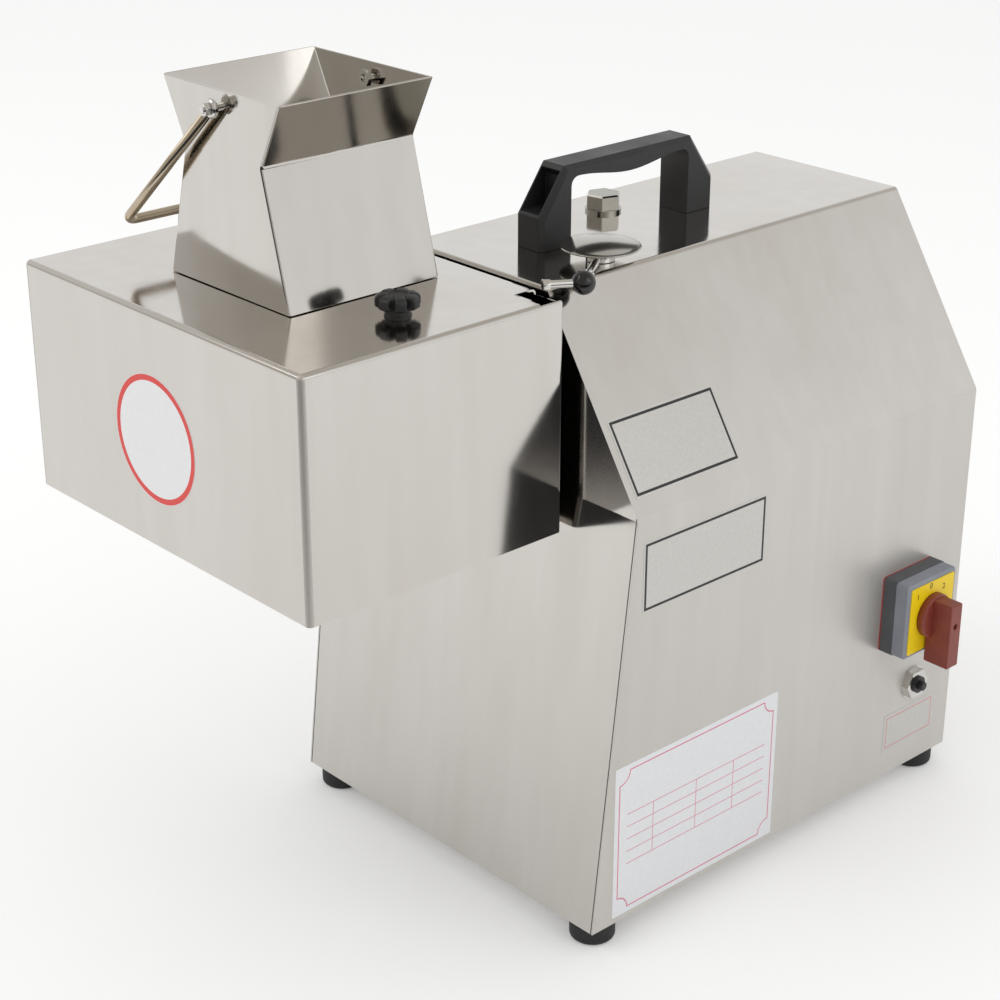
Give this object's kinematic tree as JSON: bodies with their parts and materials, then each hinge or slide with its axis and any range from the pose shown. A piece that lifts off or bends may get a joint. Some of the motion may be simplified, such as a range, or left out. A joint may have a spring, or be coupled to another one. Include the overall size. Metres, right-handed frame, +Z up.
{
  "type": "meat cutting machine",
  "caption": "Polished stainless countertop meat strip cutter: geared drive unit with clip-on cutter head, waisted feed hopper with bail, black carry handle and red rotary switch.",
  "frame": {"origin": "bottom centre of the whole machine's box, on the surface it stands on", "axes": "+Z up, -Y the front where the cutter head hangs, +X the side with the switch"},
  "size_m": [0.4544, 0.6564, 0.6516],
  "materials": {
    "polished_steel": "mirror-polished stainless sheet, warm pale grey",
    "bright_steel": "polished stainless bar and turned parts",
    "tool_steel": "ground tool steel",
    "gear_steel": "machined gear and shaft steel",
    "cast_metal": "cast aluminium, grey, as cast",
    "motor_paint": "satin blue-grey paint on the motor",
    "copper": "wound stator ends",
    "black_rubber": "dull black rubber",
    "black_plastic": "fine-grained black moulding",
    "gloss_black": "glossy black ball",
    "light_grey_plastic": "light grey switch cover",
    "dark_grey_plastic": "darker grey switch base",
    "red_gasket": "thin red gasket",
    "yellow_plastic": "yellow dial plate",
    "red_brown_plastic": "brick red switch knob",
    "white_nylon": "food-grade white plastic",
    "capacitor_can": "drawn aluminium can"
  },
  "bodies": {
    "drive_unit": {"housing_shell": "polished_steel", "rear_cover": "polished_steel", "cover_screws": "bright_steel", "base_plate": "polished_steel", "feet": "black_rubber", "foot_screws": "bright_steel", "carry_handle": "black_plastic", "handle_screws": "bright_steel", "hub_socket": "cast_metal", "gearbox_housing": "cast_metal", "gearbox_cover": "cast_metal", "gearbox_bolts": "gear_steel", "gearbox_bearings": "bright_steel", "motor_frame": "motor_paint", "motor_stator": "copper", "motor_cowl": "motor_paint", "motor_cradle": "motor_paint", "capacitor": "capacitor_can", "oil_plug": "bright_steel", "switch_gasket": "red_gasket", "switch_base": "dark_grey_plastic", "switch_cover": "light_grey_plastic", "switch_face": "yellow_plastic", "breaker_body": "black_plastic", "breaker_nut": "bright_steel", "cord_gland": "black_plastic"},
    "lock_handle": {"lock_screw": "bright_steel", "lock_knob": "bright_steel", "lock_lever": "bright_steel", "lock_ball": "gloss_black"},
    "output_drive": {"output_gear": "gear_steel", "output_shaft": "gear_steel"},
    "layshaft_drive": {"layshaft_gear": "gear_steel", "layshaft": "gear_steel"},
    "motor_drive": {"motor_pinion": "gear_steel", "motor_rotor": "gear_steel", "motor_fan": "black_plastic"},
    "switch_dial": {"switch_knob": "red_brown_plastic"},
    "reset_button": {"breaker_button": "black_plastic"},
    "cutter_head": {"front_plate": "bright_steel", "rear_plate": "bright_steel", "drive_neck": "bright_steel", "tie_rods": "bright_steel", "knob_bar": "bright_steel", "shaft_bushes": "white_nylon", "stripper_combs": "bright_steel"},
    "blade_set_a": {"blade_shaft_a": "gear_steel", "blades_a": "tool_steel", "shaft_sleeves_a": "bright_steel", "cutter_gear_a": "gear_steel"},
    "blade_set_b": {"blade_shaft_b": "gear_steel", "blades_b": "tool_steel", "shaft_sleeves_b": "bright_steel", "cutter_gear_b": "gear_steel"},
    "head_cover": {"cutter_cover": "polished_steel"},
    "cover_knob": {"star_knob": "black_plastic"},
    "feed_hopper": {"hopper": "polished_steel", "bail_nuts": "bright_steel"},
    "hopper_handle": {"hopper_bail": "bright_steel"}
  },
  "joints": [
    {"name": "lock_turn", "type": "hinge", "parent": "drive_unit", "child": "lock_handle", "pos_m": [0.05475, -0.00775, 0.518], "axis": [0, 0, 1], "range_deg": [0, 90]},
    {"name": "output_spin", "type": "hinge", "parent": "drive_unit", "child": "output_drive", "pos_m": [-0.00025, 0.05175, 0.403], "axis": [0, 1, 0], "continuous": true},
    {"name": "layshaft_spin", "type": "hinge", "parent": "drive_unit", "child": "layshaft_drive", "pos_m": [-0.00025, 0.08175, 0.303], "axis": [0, 1, 0], "continuous": true},
    {"name": "motor_spin", "type": "hinge", "parent": "drive_unit", "child": "motor_drive", "pos_m": [-0.00025, 0.11575, 0.208], "axis": [0, 1, 0], "continuous": true},
    {"name": "switch_turn", "type": "hinge", "parent": "drive_unit", "child": "switch_dial", "pos_m": [0.20175, 0.24125, 0.18], "axis": [1, 0, 0], "range_deg": [-60, 60]},
    {"name": "reset_press", "type": "slide", "parent": "drive_unit", "child": "reset_button", "axis": [-1, 0, 0], "range_m": [0, 0.004], "stiffness_N_per_m": 400, "springref_m": -0.002},
    {"name": "head_pull", "type": "slide", "parent": "drive_unit", "child": "cutter_head", "axis": [0, -1, 0], "range_m": [0, 0.13]},
    {"name": "blade_a_spin", "type": "hinge", "parent": "cutter_head", "child": "blade_set_a", "pos_m": [-0.00025, -0.26125, 0.403], "axis": [0, 1, 0], "continuous": true},
    {"name": "blade_b_spin", "type": "hinge", "parent": "cutter_head", "child": "blade_set_b", "pos_m": [-0.12025, -0.26125, 0.403], "axis": [0, 1, 0], "continuous": true},
    {"name": "cover_lift", "type": "slide", "parent": "cutter_head", "child": "head_cover", "axis": [0, 0, 1], "range_m": [0, 0.2]},
    {"name": "cover_knob_turn", "type": "hinge", "parent": "head_cover", "child": "cover_knob", "pos_m": [0.05575, -0.20425, 0.506], "axis": [0, 0, 1], "continuous": true},
    {"name": "hopper_lift", "type": "slide", "parent": "head_cover", "child": "feed_hopper", "axis": [0, 0, 1], "range_m": [0, 0.16]},
    {"name": "bail_swing", "type": "hinge", "parent": "feed_hopper", "child": "hopper_handle", "pos_m": [-0.06025, -0.19525, 0.6401], "axis": [0, 1, 0], "range_deg": [0, 240]}
  ],
  "couplings": [
    {"joint": "layshaft_spin", "follows": "output_spin", "ratio": -4},
    {"joint": "motor_spin", "follows": "output_spin", "ratio": 21.333},
    {"joint": "blade_a_spin", "follows": "output_spin", "ratio": 1},
    {"joint": "blade_b_spin", "follows": "output_spin", "ratio": -1}
  ]
}
